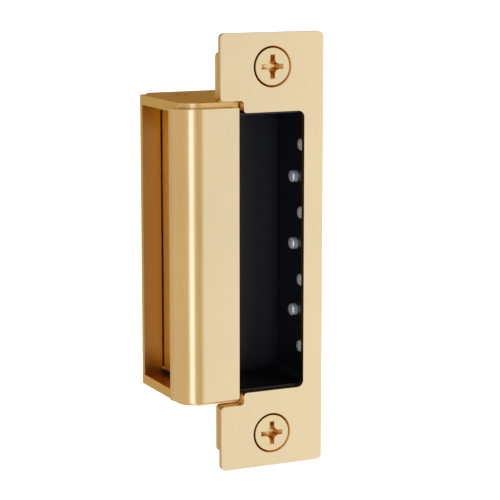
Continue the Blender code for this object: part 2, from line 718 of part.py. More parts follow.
def cover_posts():
    """The blocks at top and bottom that the rear cover is screwed to."""
    for side, sign in (("upper", 1), ("lower", -1)):
        low, high = sorted((sign * POST_INNER_Z, sign * POST_OUTER_Z))
        post = box(
            "cover_post_" + side, (POST_LEFT, LINER_OUTER_BACK + SEATING, low),
            (POST_RIGHT, REAR_COVER_FRONT - SEATING, high), "zinc", 0.2,
        )
        boolean(post, place("post_bores_" + side, rods_mesh(
            "Y", REAR_SCREW_HOLE, REAR_COVER_FRONT - POST_HOLE_DEPTH, REAR_COVER_FRONT + PAST,
            [(x, 0, sign * REAR_SCREW_Z) for x in REAR_SCREW_XS], 16,
        )))


# --- Lock bar and solenoid -------------------------------------------------------------------------------

def lock_bar():
    bar = box("lock_bar", (LOCK_NOSE_X, LOCK_FRONT_Y, -LOCK_HALF_HEIGHT),
              (LOCK_BACK_X, LOCK_REAR_Y, LOCK_HALF_HEIGHT), "steel", 0.3)
    boolean(bar, place("rod_bore", rods_mesh(
        "X", PUSH_ROD_RADIUS + GAP, LOCK_NOSE_X - PAST, LOCK_BACK_X + PAST, [(0, LOCK_Y, 0)], 24,
    )))


def lock_guides():
    """Channels above and below the lock bar, open towards the keeper and towards the coil."""
    for side, sign in (("upper", 1), ("lower", -1)):
        low, high = sorted((sign * GUIDE_INNER_Z, sign * GUIDE_OUTER_Z))
        guide = box(
            "lock_guide_" + side, (GUIDE_LEFT, GUIDE_FRONT, low),
            (GUIDE_RIGHT, REAR_COVER_FRONT - SEATING, high), "zinc", 0.2,
        )
        low, high = sorted((sign * GUIDE_MOUTH_Z, sign * (LOCK_HALF_HEIGHT + SEATING)))
        boolean(guide, box(
            "guide_channel_" + side, (GUIDE_LEFT - PAST, LOCK_FRONT_Y - GAP, low),
            (GUIDE_RIGHT + PAST, LOCK_REAR_Y + GAP, high),
        ))


def solenoid_screw_spots():
    """(x, z) of the two screws that hold the solenoid to the rear cover."""
    middle = (SOLENOID_LEFT + SOLENOID_RIGHT) / 2
    return [(middle - SOLENOID_SCREW_SPREAD, 0), (middle + SOLENOID_SCREW_SPREAD, 0)]


def solenoid_frame():
    left, right, sheet = SOLENOID_LEFT, SOLENOID_RIGHT, SOLENOID_SHEET
    front, back = SOLENOID_FRONT_Y, SOLENOID_BACK_Y
    bracket = place("solenoid_frame", extruded([rounded([
        (left, front, 0.3), (left + sheet, front, 0.3), (left + sheet, back - sheet, 0),
        (right - sheet, back - sheet, 0), (right - sheet, front, 0.3), (right, front, 0.3),
        (right, back, 0.6), (left, back, 0.6),
    ])], -SOLENOID_HALF_HEIGHT, SOLENOID_HALF_HEIGHT), "zinc")
    axis = (0, LOCK_Y, 0)
    boolean(bracket, place("rod_hole", rods_mesh(
        "X", PUSH_ROD_RADIUS + SEATING, left - PAST, left + 2 * sheet, [axis],
    )))
    boolean(bracket, place("armature_hole", rods_mesh(
        "X", ARMATURE_RADIUS + SEATING, right - 2 * sheet, right + PAST, [axis],
    )))
    boolean(bracket, place("bracket_bores", rods_mesh(
        "Y", REAR_SCREW_HOLE, back - 2 * sheet, back + PAST,
        [(x, 0, z) for x, z in solenoid_screw_spots()], 16,
    )))
    for number, (x, z) in enumerate(solenoid_screw_spots(), 1):
        pan_screw(f"solenoid_screw_{number}", "+Y", (x, REAR_COVER_BACK, z), **SOLENOID_SCREW)


def solenoid_coil():
    """Bobbin, winding and pole piece. Heights along the axis are towards -X from X = 0."""
    axis = (0, LOCK_Y, 0)
    left = SOLENOID_LEFT + SOLENOID_SHEET + 0.2
    right = SOLENOID_RIGHT - SOLENOID_SHEET - 0.2
    bore, tube = ARMATURE_RADIUS + 0.5, BOBBIN_TUBE_RADIUS
    flange, rim = BOBBIN_FLANGE_RADIUS, BOBBIN_FLANGE_THICK
    turned("solenoid_bobbin", [
        (bore, -left), (flange, -left), (flange, -left - rim), (tube, -left - rim),
        (tube, -right + rim), (flange, -right + rim), (flange, -right), (bore, -right),
    ], "-X", axis, "white_nylon", closed=True)
    coil_left, coil_right = left + rim + 0.1, right - rim - 0.1
    turned("solenoid_coil", [
        (tube + 0.1, -coil_left), (flange - 0.2, -coil_left),
        (flange - 0.2, -coil_right), (tube + 0.1, -coil_right),
    ], "-X", axis, "copper", closed=True)
    rod_bore, pole_radius, pole_end = PUSH_ROD_RADIUS + SEATING, bore - 0.2, 0.3
    turned("solenoid_pole_piece", [
        (rod_bore, -left), (pole_radius, -left), (pole_radius, -pole_end), (rod_bore, -pole_end),
    ], "-X", axis, "steel", closed=True)


def solenoid_plunger():
    """Push rod, armature and head in one piece, and the spring that draws it back."""
    rod, body = PUSH_ROD_RADIUS, ARMATURE_RADIUS
    head, end = ARMATURE_HEAD_RADIUS, ARMATURE_RIGHT + ARMATURE_HEAD_THICK
    tip = -(LOCK_NOSE_X + 0.5)
    turned("solenoid_plunger", [
        (0, tip), (rod - 0.2, tip), (rod, tip - 0.2), (rod, -ARMATURE_LEFT),
        (body - 0.3, -ARMATURE_LEFT), (body, -ARMATURE_LEFT - 0.3), (body, -ARMATURE_RIGHT),
        (head, -ARMATURE_RIGHT), (head, -end), (0, -end),
    ], "-X", (0, LOCK_Y, 0), "steel")
    per_turn = 12
    start, stop = SOLENOID_RIGHT + SEATING, ARMATURE_RIGHT - SEATING
    count = int(RETURN_SPRING_TURNS * per_turn)
    coil = []
    for i in range(count + 1):
        angle = 2 * math.pi * i / per_turn
        coil.append((
            start + (stop - start) * i / count,
            LOCK_Y + RETURN_SPRING_RADIUS * math.cos(angle), RETURN_SPRING_RADIUS * math.sin(angle),
        ))
    wire("plunger_return_spring", coil, RETURN_SPRING_WIRE, "spring_steel")


# --- Switches, board and connector -----------------------------------------------------------------------

def switch(name, corner, button_z, tip):
    """Snap switch with its case's lowest corner and its button's tip given."""
    left, front, _ = corner
    high = [c + size for c, size in zip(corner, SWITCH_SIZE)]
    body = box(name + "_body", corner, high, "black_plastic", 0.2)
    centre_y = front + SWITCH_SIZE[1] / 2
    boolean(body, place(name + "_bore", rods_mesh(
        "X", SWITCH_BORE_RADIUS, left - PAST, left + SWITCH_BORE_DEPTH, [(0, centre_y, button_z)], 20,
    )))
    length = left - tip + BUTTON_INSIDE
    turned(name + "_button", [
        (0, 0), (BUTTON_RADIUS - BUTTON_CHAMFER, 0), (BUTTON_RADIUS, -BUTTON_CHAMFER),
        (BUTTON_RADIUS, -length), (0, -length),
    ], "-X", (tip, centre_y, button_z), "red_plastic", steps=20)


def connector():
    """Socket for the plug of the power lead, open at the back, with its row of contacts."""
    low = Vector((SOCKET_LEFT, SOCKET_FRONT, SOCKET_LOW))
    high = Vector((SOCKET_RIGHT, SOCKET_BACK, SOCKET_HIGH))
    wall = Vector((SOCKET_WALL, 0, SOCKET_WALL))
    socket = box("connector_socket", low, high, "white_nylon", 0.15)
    boolean(socket, box(
        "socket_cavity", low + wall + Vector((0, 1, 0)), high - wall + Vector((0, PAST, 0)),
    ))
    middle = (low + high) / 2
    half = CONTACT_WIDTH / 2
    for i in range(CONTACT_COUNT):
        x = middle.x + CONTACT_PITCH * (i - (CONTACT_COUNT - 1) / 2)
        box(f"connector_contact_{i + 1}", (x - half, low.y + 1.1, middle.z - half),
            (x + half, high.y - CONTACT_SHY, middle.z + half), "satin_gold", 0.12)


clear_scene()
PARTS = make_collection("electric_door_strike")
CUTTERS = make_collection("cutters")

front_plates()
keeper_frame()
keeper()
hinge_pin()
keeper_spring()
pocket_liner()
latch_pins()
side_cover()
rear_cover()
cover_posts()
lock_bar()
lock_guides()
solenoid_frame()
solenoid_coil()
solenoid_plunger()
switch("keeper_switch", KEEPER_SWITCH_CORNER, KEEPER_SWITCH_BUTTON_Z, KEEPER_SWITCH_TIP)
switch("lock_switch", LOCK_SWITCH_CORNER, LOCK_SWITCH_BUTTON_Z, LOCK_SWITCH_TIP)
box("circuit_board", BOARD_LOW, BOARD_HIGH, "board_green")
box("board_suppressor", SUPPRESSOR_LOW, SUPPRESSOR_HIGH, "black_plastic", 0.4)
connector()
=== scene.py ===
"""Electric door strike: fine surfaces, finishes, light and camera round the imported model."""

import json
import math

import bmesh
import bpy
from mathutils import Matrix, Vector


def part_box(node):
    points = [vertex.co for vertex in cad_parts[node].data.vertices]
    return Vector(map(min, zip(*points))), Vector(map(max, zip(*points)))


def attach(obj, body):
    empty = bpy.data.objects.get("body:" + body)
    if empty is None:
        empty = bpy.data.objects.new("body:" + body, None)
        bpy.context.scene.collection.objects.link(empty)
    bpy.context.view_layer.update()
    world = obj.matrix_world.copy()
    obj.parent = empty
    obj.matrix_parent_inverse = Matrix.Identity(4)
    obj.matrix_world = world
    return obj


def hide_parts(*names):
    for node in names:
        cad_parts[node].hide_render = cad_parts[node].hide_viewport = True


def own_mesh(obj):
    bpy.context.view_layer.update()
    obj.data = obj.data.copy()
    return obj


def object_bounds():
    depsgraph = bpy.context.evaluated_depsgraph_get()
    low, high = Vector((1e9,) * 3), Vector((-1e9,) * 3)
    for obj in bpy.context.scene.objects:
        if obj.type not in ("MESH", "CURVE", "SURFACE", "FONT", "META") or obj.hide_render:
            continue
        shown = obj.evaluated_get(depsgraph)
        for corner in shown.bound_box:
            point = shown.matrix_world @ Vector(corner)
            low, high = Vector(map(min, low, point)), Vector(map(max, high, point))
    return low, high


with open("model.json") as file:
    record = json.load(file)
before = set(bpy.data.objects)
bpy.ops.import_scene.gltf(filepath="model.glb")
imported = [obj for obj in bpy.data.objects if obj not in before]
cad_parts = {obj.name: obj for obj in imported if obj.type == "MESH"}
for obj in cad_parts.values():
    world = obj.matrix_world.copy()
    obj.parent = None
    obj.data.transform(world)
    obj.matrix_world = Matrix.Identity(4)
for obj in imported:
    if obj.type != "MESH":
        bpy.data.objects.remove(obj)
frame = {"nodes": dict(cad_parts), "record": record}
cad_low, cad_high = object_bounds()
NODES = frame["nodes"]
SLOTS = {row["node"]: row["material_slot"] for row in frame["record"]["subparts"]}
BODY_OF = {
    node: body for body, nodes in frame["record"]["behaviour"]["bodies"].items() for node in nodes
}

MM = 0.001


# --- Camera -----------------------------------------------------------------------------------

VIEW_AZIMUTH = math.radians(-25.28)    # to the left of straight on
VIEW_ELEVATION = math.radians(9.92)
VIEW_DISTANCE = 0.54
VIEW_TARGET = Vector((-5.2, 3.7, 0.6)) * MM
LENS = 137.7
SENSOR_WIDTH = 36
NEAR_LIMIT = 0.01


def direction(azimuth, elevation):
    """Unit vector towards an azimuth, 0 in front and +90 degrees at +X, and an elevation."""
    flat = math.cos(elevation)
    return Vector((
        math.sin(azimuth) * flat, -math.cos(azimuth) * flat, math.sin(elevation),
    ))


def add_camera():
    back = direction(VIEW_AZIMUTH, VIEW_ELEVATION)
    data = bpy.data.cameras.new("camera")
    data.lens = LENS
    data.sensor_width = SENSOR_WIDTH
    data.clip_start = NEAR_LIMIT
    camera = bpy.data.objects.new("camera", data)
    camera.location = VIEW_TARGET + back * VIEW_DISTANCE
    camera.rotation_mode = "QUATERNION"
    camera.rotation_quaternion = (-back).to_track_quat("-Z", "Y")
    bpy.context.scene.collection.objects.link(camera)
    bpy.context.scene.camera = camera


# --- Material building ------------------------------------------------------------------------

GRAIN_SPAN = (0.3, 0.7)     # nearly all of a noise's values lie between these
OPENNESS_SAMPLES = 6


class Surface:
    """A short way to write a material's node tree."""

    SOCKETS = {
        "colour": "Base Color", "metallic": "Metallic", "roughness": "Roughness",
        "specular": "Specular IOR Level", "tint": "Specular Tint", "coat": "Coat Weight",
        "coat_roughness": "Coat Roughness", "coat_ior": "Coat IOR", "normal": "Normal",
    }

    def __init__(self, name):
        self.material = bpy.data.materials.new(name)
        self.material.use_nodes = True
        self.tree = self.material.node_tree
        self.shader = self.tree.nodes["Principled BSDF"]
        place = self.add("ShaderNodeTexCoord")
        self.position = place.outputs["Object"]
        self.facing = place.outputs["Normal"]

    def add(self, kind, **settings):
        node = self.tree.nodes.new(kind)
        for key, value in settings.items():
            setattr(node, key, value)
        return node

    def put(self, socket, value):
        if isinstance(value, bpy.types.NodeSocket):
            self.tree.links.new(value, socket)
        elif isinstance(value, tuple) and len(value) == 3 and socket.type == "RGBA":
            socket.default_value = (*value, 1.0)
        else:
            socket.default_value = value

    def set(self, **values):
        for key, value in values.items():
            self.put(self.shader.inputs[self.SOCKETS[key]], value)

    def stretched(self, scale):
        mapping = self.add("ShaderNodeMapping")
        self.put(mapping.inputs["Vector"], self.position)
        mapping.inputs["Scale"].default_value = scale
        return mapping.outputs["Vector"]

    def noise(self, scale, detail, stretch=(1, 1, 1)):
        node = self.add("ShaderNodeTexNoise")
        node.inputs["Scale"].default_value = scale
        node.inputs["Detail"].default_value = detail
        self.put(node.inputs["Vector"], self.stretched(stretch))
        return node.outputs["Fac"]

    def cells(self, scale):
        node = self.add("ShaderNodeTexVoronoi")
        node.inputs["Scale"].default_value = scale
        self.put(node.inputs["Vector"], self.position)
        return node.outputs["Color"]

    def ramp(self, value, low, high, to_low=0.0, to_high=1.0):
        node = self.add("ShaderNodeMapRange")
        for socket, number in zip(node.inputs[1:5], (low, high, to_low, to_high)):
            socket.default_value = number
        self.put(node.inputs["Value"], value)
        return node.outputs["Result"]

    def rough(self, grain, low, high):
        """Roughness that follows a grain between two values."""
        return self.ramp(grain, *GRAIN_SPAN, low, high)

    def mix(self, factor, first, second):
        """Blend of two colours. Their sockets come after those for numbers and vectors."""
        node = self.add("ShaderNodeMix", data_type="RGBA")
        self.put(node.inputs["Factor"], factor)
        self.put(node.inputs[6], first)
        self.put(node.inputs[7], second)
        return node.outputs[2]

    def maths(self, operation, first, second=0.0):
        node = self.add("ShaderNodeMath", operation=operation)
        self.put(node.inputs[0], first)
        self.put(node.inputs[1], second)
        return node.outputs[0]

    def part_of(self, vector, name):
        split = self.add("ShaderNodeSeparateXYZ")
        self.put(split.inputs[0], vector)
        return split.outputs[name]

    def axis(self, name):
        return self.part_of(self.facing, name)

    def hollows(self, distance, start, end):
        """Mask for painted shade: 0 in the open, rising to 1 in recesses as their openness falls
        from start to end.
        """
        node = self.add("ShaderNodeAmbientOcclusion", samples=OPENNESS_SAMPLES)
        node.inputs["Distance"].default_value = distance
        return self.ramp(node.outputs["AO"], start, end)

    def bump(self, height, strength, distance):
        node = self.add("ShaderNodeBump")
        node.inputs["Strength"].default_value = strength
        node.inputs["Distance"].default_value = distance
        self.put(node.inputs["Height"], height)
        self.set(normal=node.outputs["Normal"])


# Painted light: a paler gold for faces lit from the front.
LIT_FRONT_GOLD = (0.80, 0.636, 0.378)
GOLD = (0.82, 0.525, 0.185)
EDGE_GOLD = (0.84, 0.55, 0.215)
# Painted shade: a darker gold for the frame's faces that face up and down, and for the screws'
# recesses.
PAINTED_SHADE_GOLD = (0.74, 0.36, 0.07)
# Painted light: a paler gold for the mounting flange's lit sides.
LIT_EDGE_GOLD = (0.90, 0.62, 0.26)
# Painted shade: the gold in recesses of the faceplate and the flange.
RECESS_SHADE_GOLD = (0.42, 0.18, 0.035)
SHADED_GOLD = (0.46, 0.19, 0.008)

BRUSHING_SCALE, CLOUD_SCALE = 3200, 42
CLOUD_SHARE = 0.55                  # of the tone, and the rest is brushing
STREAK_SPAN = (0.36, 0.64)
FRONT_DIM, EDGE_DIM = 0.94, 0.91    # the darkest streaks against each colour
DOOR_FACING = (-0.985, -0.9995)     # the normal's Y where a face counts as facing the door
LEVEL_FACING = (0.7, 0.95)          # the normal's Z where a face counts as level
COAT_ROUGHNESS, COAT_IOR = 0.20, 1.6


def dimmed(colour, share):
    return tuple(share * c for c in colour)


def gold(name, front, sides, flats, roughness, grain, coat=0.0, glancing=(1, 1, 1),
         dark=RECESS_SHADE_GOLD, hollow=(0.0012, 0.75, 0.20), depth=None):
    """Satin gold with a fine grain.

    front, sides and flats are the colours of the faces towards the door, of those across its
    plane, and of those that face up and down: painted light and shade, each being the gold as lit
    from that side. coat is the weight of a clear lacquer and glancing the tint of a face seen edge
    on. hollow says where painted shade turns the colour dark: the reach in metres over which a
    recess counts, and the openness at which that starts and ends. With depth, it does so only
    behind the faceplate, from none to full between those two distances in metres.
    """
    made = Surface(name)
    fine = made.noise(BRUSHING_SCALE, 2, grain)
    tone = made.maths(
        "ADD",
        made.maths("MULTIPLY", made.noise(CLOUD_SCALE, 3), CLOUD_SHARE),
        made.maths("MULTIPLY", fine, 1 - CLOUD_SHARE),
    )
    streaks = made.ramp(tone, *STREAK_SPAN)

    def streaked(colour, share):
        return made.mix(streaks, dimmed(colour, share), colour)

    # Painted light and shade: each face takes the colour for its facing, as lit from that side.
    door = made.ramp(made.axis("Y"), *DOOR_FACING)
    level = made.ramp(made.maths("ABSOLUTE", made.axis("Z")), *LEVEL_FACING)
    around = made.mix(level, streaked(sides, EDGE_DIM), streaked(flats, EDGE_DIM))
    colour = made.mix(door, around, streaked(front, FRONT_DIM))
    # Painted shade: recesses turn to the dark colour, behind the faceplate only when depth is
    # given.
    recess = made.hollows(*hollow)
    if depth:
        behind = made.ramp(made.part_of(made.position, "Y"), *depth)
        recess = made.maths("MULTIPLY", recess, behind)
    made.set(
        colour=made.mix(recess, colour, dark), metallic=1.0,
        roughness=made.rough(fine, roughness - 0.03, roughness + 0.03),
        coat=coat, coat_roughness=COAT_ROUGHNESS, coat_ior=COAT_IOR, tint=glancing,
    )
    made.bump(fine, 0.04, 0.00002)
    return made.material


def metal(name, colour, roughness, grain=(1, 1, 1), scale=2400, streak=0.14, metallic=1.0):
    """Steel, brass or copper: a grain that changes the tone by streak and the gloss with it."""
    made = Surface(name)
    fine = made.noise(scale, 2, grain)
    streaks = made.ramp(fine, 0.35, 0.65)
    made.set(
        colour=made.mix(streaks, dimmed(colour, 1 - streak), colour), metallic=metallic,
        roughness=made.rough(fine, roughness - 0.04, roughness + 0.06),
    )
    made.bump(fine, 0.08, 0.00003)
    return made.material


def zinc_sheet():
    """Galvanised sheet: pale crystals of slightly different tone and gloss."""
    made = Surface("zinc_sheet")
    grey = made.add("ShaderNodeRGBToBW")
    made.put(grey.inputs[0], made.cells(420))
    crystal = grey.outputs[0]
    made.set(
        colour=made.mix(crystal, (0.50, 0.51, 0.52), (0.66, 0.67, 0.68)), metallic=1.0,
        roughness=made.ramp(crystal, 0.0, 1.0, 0.34, 0.46),
    )
    made.bump(made.noise(1800, 2), 0.05, 0.00003)
    return made.material


def plastic(name, colour, roughness):
    """Moulded plastic with a fine spark-eroded texture."""
    made = Surface(name)
    fine = made.noise(1600, 3)
    made.set(
        colour=made.mix(made.ramp(fine, *GRAIN_SPAN), dimmed(colour, 0.85), colour),
        metallic=0.0, roughness=made.rough(fine, roughness - 0.04, roughness + 0.04),
        specular=0.5,
    )
    made.bump(fine, 0.10, 0.00003)
    return made.material


# Painted light and shade: the pocket's floor, which faces the door, is paler than its walls, and
# its corners darker.
LINER_WALL, LINER_LIT_FLOOR = (0.0045, 0.0048, 0.0050), (0.0150, 0.0157, 0.0172)
LINER_CORNER_SHADE = (0.0015, 0.0015, 0.0018)


def liner_material():
    """Satin black, with painted light making the pocket's floor paler than its walls, and painted
    shade darkest in its corners.
    """
    made = Surface("black_liner")
    # Painted light: the floor faces the door and takes the paler black.
    floor = made.ramp(made.axis("Y"), -0.90, -0.999)
    fine = made.noise(900, 2)
    # Painted shade in the pocket's corners.
    corners = made.hollows(0.005, 0.80, 0.45)
    made.set(
        colour=made.mix(corners, made.mix(floor, LINER_WALL, LINER_LIT_FLOOR), LINER_CORNER_SHADE),
        metallic=0.0, roughness=made.rough(fine, 0.30, 0.36), specular=0.26,
    )
    made.bump(fine, 0.01, 0.00002)
    return made.material


def board_material():
    """Green solder mask with copper tracks under it."""
    made = Surface("circuit_board")
    wave = made.add("ShaderNodeTexWave", wave_type="BANDS", bands_direction="X")
    wave.inputs["Scale"].default_value = 160
    wave.inputs["Distortion"].default_value = 1.5
    made.put(wave.inputs["Vector"], made.position)
    tracks = made.ramp(wave.outputs["Fac"], 0.72, 0.80)
    made.set(
        colour=made.mix(tracks, (0.012, 0.11, 0.045), (0.05, 0.22, 0.09)), roughness=0.32,
        metallic=0.0,
    )
    made.bump(tracks, 0.3, 0.00004)
    return made.material


VERTICAL_GRAIN = (1, 1, 0.03)   # drawn out along the faceplate's height

# The golds paint light and shade: paler faces towards the door, darker level faces on the frame,
# and dark recesses.
MATERIALS = {
    "gold_front": gold(
        "gold_front", LIT_FRONT_GOLD, GOLD, GOLD, 0.25, VERTICAL_GRAIN, coat=0.6,
        glancing=(1.0, 0.82, 0.58),
    ),
    "gold_frame": gold(
        "gold_frame", EDGE_GOLD, EDGE_GOLD, PAINTED_SHADE_GOLD, 0.36, VERTICAL_GRAIN,
        glancing=(1.0, 0.70, 0.28), dark=SHADED_GOLD, hollow=(0.009, 0.92, 0.62),
        depth=(0.006, 0.016),
    ),
    "gold_screw": gold(
        "gold_screw", LIT_FRONT_GOLD, GOLD, GOLD, 0.30, (1, 1, 1), dark=PAINTED_SHADE_GOLD,
        hollow=(0.0010, 0.75, 0.25),
    ),
    "steel": metal("steel", (0.58, 0.58, 0.59), 0.28),
    "steel_pin": metal(
        "steel_pin", (0.92, 0.90, 0.84), 0.32, (0.05, 1, 1), scale=3000, metallic=0.65,
    ),
    "spring_steel": metal("spring_steel", (0.42, 0.42, 0.44), 0.30),
    "zinc_sheet": zinc_sheet(),
    "black_liner": liner_material(),
    "black_plastic": plastic("black_plastic", (0.02, 0.02, 0.022), 0.50),
    "red_plastic": plastic("red_plastic", (0.50, 0.03, 0.02), 0.40),
    "white_nylon": plastic("white_nylon", (0.75, 0.74, 0.70), 0.45),
    "copper_wire": metal("copper_wire", (0.60, 0.24, 0.10), 0.35),
    "circuit_board": board_material(),
    "gold_contact": metal("gold_contact", (0.85, 0.62, 0.28), 0.25),
}

# The mounting flange's gold: painted light makes its sides paler than the frame's, and its painted
# shade reaches into no deep recess.
LIT_FLANGE_GOLD = gold(
    "gold_flange_painted_light", EDGE_GOLD, LIT_EDGE_GOLD, EDGE_GOLD, 0.36, VERTICAL_GRAIN,
    glancing=(1.0, 0.70, 0.28), hollow=(0.0008, 0.6, 0.1),
)


# --- Fine edges on the CAD nodes --------------------------------------------------------------

EDGE_ANGLE = math.radians(32)       # a sharper turn than this is an edge
FLAT_ANGLE = math.radians(0.6)      # faces nearer to one plane than this are joined
WELD_DISTANCE = 1e-6


def smoothing_group():
    """Geometry nodes that shade a piece smooth and keep its edges sharp."""
    group = bpy.data.node_groups.new("smooth_shading", "GeometryNodeTree")
    group.interface.new_socket("Geometry", in_out="INPUT", socket_type="NodeSocketGeometry")
    group.interface.new_socket("Geometry", in_out="OUTPUT", socket_type="NodeSocketGeometry")
    add, link = group.nodes.new, group.links.new
    start, end = add("NodeGroupInput"), add("NodeGroupOutput")
    angle, compare = add("GeometryNodeInputMeshEdgeAngle"), add("FunctionNodeCompare")
    compare.operation = "GREATER_THAN"
    compare.inputs[1].default_value = EDGE_ANGLE
    normals = add("GeometryNodeSetMeshNormal")
    normals.mode = "SHARPNESS"
    link(angle.outputs["Unsigned Angle"], compare.inputs[0])
    link(start.outputs[0], normals.inputs["Mesh"])
    link(compare.outputs["Result"], normals.inputs["Edge Sharpness"])
    link(normals.outputs["Mesh"], end.inputs[0])
    return group


def refine(obj, edge):
    """Joins an object's flat triangles, rounds its edges by a width in mm and shades it smooth."""
    weld = obj.modifiers.new("weld", "WELD")
    weld.merge_threshold = WELD_DISTANCE
    flats = obj.modifiers.new("flats", "DECIMATE")
    flats.decimate_type = "DISSOLVE"
    flats.angle_limit = FLAT_ANGLE
    if edge:
        bevel = obj.modifiers.new("edges", "BEVEL")
        bevel.width = edge * MM
        bevel.segments = 2
        bevel.limit_method = "ANGLE"
        bevel.angle_limit = EDGE_ANGLE
    smooth = obj.modifiers.new("smooth", "NODES")
    smooth.node_group = SMOOTH_SHADING
    level = obj.modifiers.new("level", "WEIGHTED_NORMAL")
    level.mode = "FACE_AREA"
    level.weight = 100
    level.keep_sharp = True


SMOOTH_SHADING = smoothing_group()

# Width of the rounded edges in mm. Nodes that aren't named here keep the edges that they have.
EDGES = {
    "faceplate": 0.10, "keeper_frame": 0.12, "keeper": 0.08,
    "side_cover": 0.05, "rear_cover": 0.06, "keeper_hinge_pin": 0.05,
    "lock_bar": 0.08, "lock_guide_upper": 0.08, "lock_guide_lower": 0.08,
    "cover_post_upper": 0.08, "cover_post_lower": 0.08, "solenoid_frame": 0.10,
    "connector_socket": 0.06, "circuit_board": 0.08, "board_suppressor": 0.10,
}


def dress_nodes():
    for name, obj in NODES.items():
        finish = LIT_FLANGE_GOLD if name == "mounting_flange" else MATERIALS[SLOTS[name]]
        obj.data.materials.clear()
        obj.data.materials.append(finish)
        refine(obj, EDGES.get(name, 0))


# --- Fine pieces that stand for coarse nodes --------------------------------------------------

SIDES = 64                  # of turned pieces
TURN_POINTS = 36            # points in one turn of a spring
CREASE = math.radians(40)   # a sharper turn than this is shaded as an edge


def turned(profile, centre):
    """Mesh turned about an axis along X through a centre.

    Its profile of (radius, x) in mm is measured from the centre. It makes a ring when no radius
    is 0.
    """
    ring = [math.tau * k / SIDES for k in range(SIDES)]
    points, loops = [], []
    for radius, along in profile:
        around = ring if radius else [0.0]
        loops.append(range(len(points), len(points) + len(around)))
        points += [
            centre + Vector((along, radius * math.cos(a), radius * math.sin(a))) * MM
            for a in around
        ]
    pairs = list(zip(loops, loops[1:]))
    if all(radius for radius, _ in profile):
        pairs.append((loops[-1], loops[0]))
    faces = []
    for first, second in pairs:
        for k in range(SIDES):
            here, there = k, (k + 1) % SIDES
            if len(first) == 1:
                faces.append((first[0], second[there], second[here]))
            elif len(second) == 1:
                faces.append((first[here], first[there], second[0]))
            else:
                faces.append((first[here], first[there], second[there], second[here]))
    mesh = bpy.data.meshes.new("turned")
    mesh.from_pydata(points, [], faces)
    return outward(mesh)


def outward(mesh):
    """Turns a closed mesh's faces to point outwards."""
    bm = bmesh.new()
    bm.from_mesh(mesh)
    bmesh.ops.recalc_face_normals(bm, faces=bm.faces)
    bm.to_mesh(mesh)
    bm.free()
    return mesh


def wire(points, radius):
    """Mesh of a round wire through points in metres, with capped ends and a radius in mm."""
    curve = bpy.data.curves.new("wire", "CURVE")
    curve.dimensions = "3D"
    curve.bevel_depth = radius * MM
    curve.bevel_resolution = 3
    curve.use_fill_caps = True
    spline = curve.splines.new("POLY")
    spline.points.add(len(points) - 1)
    for point, place in zip(spline.points, points):
        point.co = (*place, 1)
    obj = bpy.data.objects.new("wire", curve)
    bpy.context.scene.collection.objects.link(obj)
    bpy.context.view_layer.update()
    evaluated = obj.evaluated_get(bpy.context.evaluated_depsgraph_get())
    mesh = bpy.data.meshes.new_from_object(evaluated)
    bpy.data.objects.remove(obj)
    bm = bmesh.new()
    bm.from_mesh(mesh)
    bmesh.ops.remove_doubles(bm, verts=bm.verts, dist=WELD_DISTANCE)
    bm.to_mesh(mesh)
    bm.free()
    return outward(mesh)


def show(name, mesh, node, body=None):
    """Shows a fine mesh for a node, with its finish, on its body unless another one is named."""
    mesh.materials.clear()
    mesh.materials.append(MATERIALS[SLOTS[node]])
    mesh.shade_smooth()
    mesh.set_sharp_from_angle(angle=CREASE)
    piece = bpy.data.objects.new(name, mesh)
    bpy.context.scene.collection.objects.link(piece)
    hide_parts(node)
    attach(piece, body or BODY_OF[node])
    return piece


def box_of(node):
    """Low and high corners of a node's box, and its middle."""
    low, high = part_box(node)
    return low, high, (low + high) / 2


PIN_COUNT = 7
CROWN_SHARES = (0.33, 0.66, 1.0)    # of the crown's radius, where its outline has points

# Latch pins in mm: radii, and distances behind the tip of the nose.
PIN_RADIUS, PIN_RIM, PIN_CROWN, PIN_SHANK = 1.7, 0.60, 0.30, 2.65
PIN_FLANGE, PIN_FLANGE_BACK, PIN_SEAT = 2.6, 3.15, 0.8
PIN_CHAMFER = 0.1


def add_latch_pins():
    """Nose with a low crown and a full round rim, shank, flange and spring seat."""
    flat = PIN_RADIUS - PIN_RIM
    profile = [(0, 0)] + [(flat * share, PIN_CROWN * share ** 2) for share in CROWN_SHARES]
    for degrees in range(10, 91, 10):
        angle = math.radians(degrees)
        profile.append((
            flat + PIN_RIM * math.sin(angle), PIN_CROWN + PIN_RIM * (1 - math.cos(angle)),
        ))
    for number in range(1, PIN_COUNT + 1):
        node = f"latch_pin_{number}"
        low, high, middle = box_of(node)
        end = (high.x - low.x) / MM
        rest = [
            (PIN_RADIUS, PIN_SHANK), (PIN_FLANGE - PIN_CHAMFER, PIN_SHANK),
            (PIN_FLANGE, PIN_SHANK + PIN_CHAMFER), (PIN_FLANGE, PIN_FLANGE_BACK),
            (PIN_SEAT, PIN_FLANGE_BACK), (PIN_SEAT, end), (0, end),
        ]
        tip = Vector((low.x, middle.y, middle.z))
        show(node + "_turned", turned(profile + rest, tip), node)


FLAT_TURNS = 0.6            # of a turn lies flat at each end of a spring


def coil_points(start, stop, first_radius, last_radius, turns):
    """Points of a spring along X between two centres, with flat ends and radii in mm."""
    count = int(turns * TURN_POINTS)
    flat = FLAT_TURNS / turns
    points = []
    for k in range(count + 1):
        share = k / count
        along = min(1.0, max(0.0, (share - flat) / (1 - 2 * flat)))
        radius = (first_radius + (last_radius - first_radius) * share) * MM
        angle = math.tau * k / TURN_POINTS
        outwards = Vector((0, math.cos(angle), math.sin(angle)))
        points.append(start.lerp(stop, along) + outwards * radius)
    return points


# Springs: wire and coil radii in mm, and the number of turns.
LATCH_WIRE, LATCH_RADII, LATCH_TURNS = 0.11, (1.25, 2.15), 3
LATCH_INSET = 1.5 * LATCH_WIRE
RETURN_WIRE, RETURN_RADIUS, RETURN_TURNS = 0.22, 3.1, 5


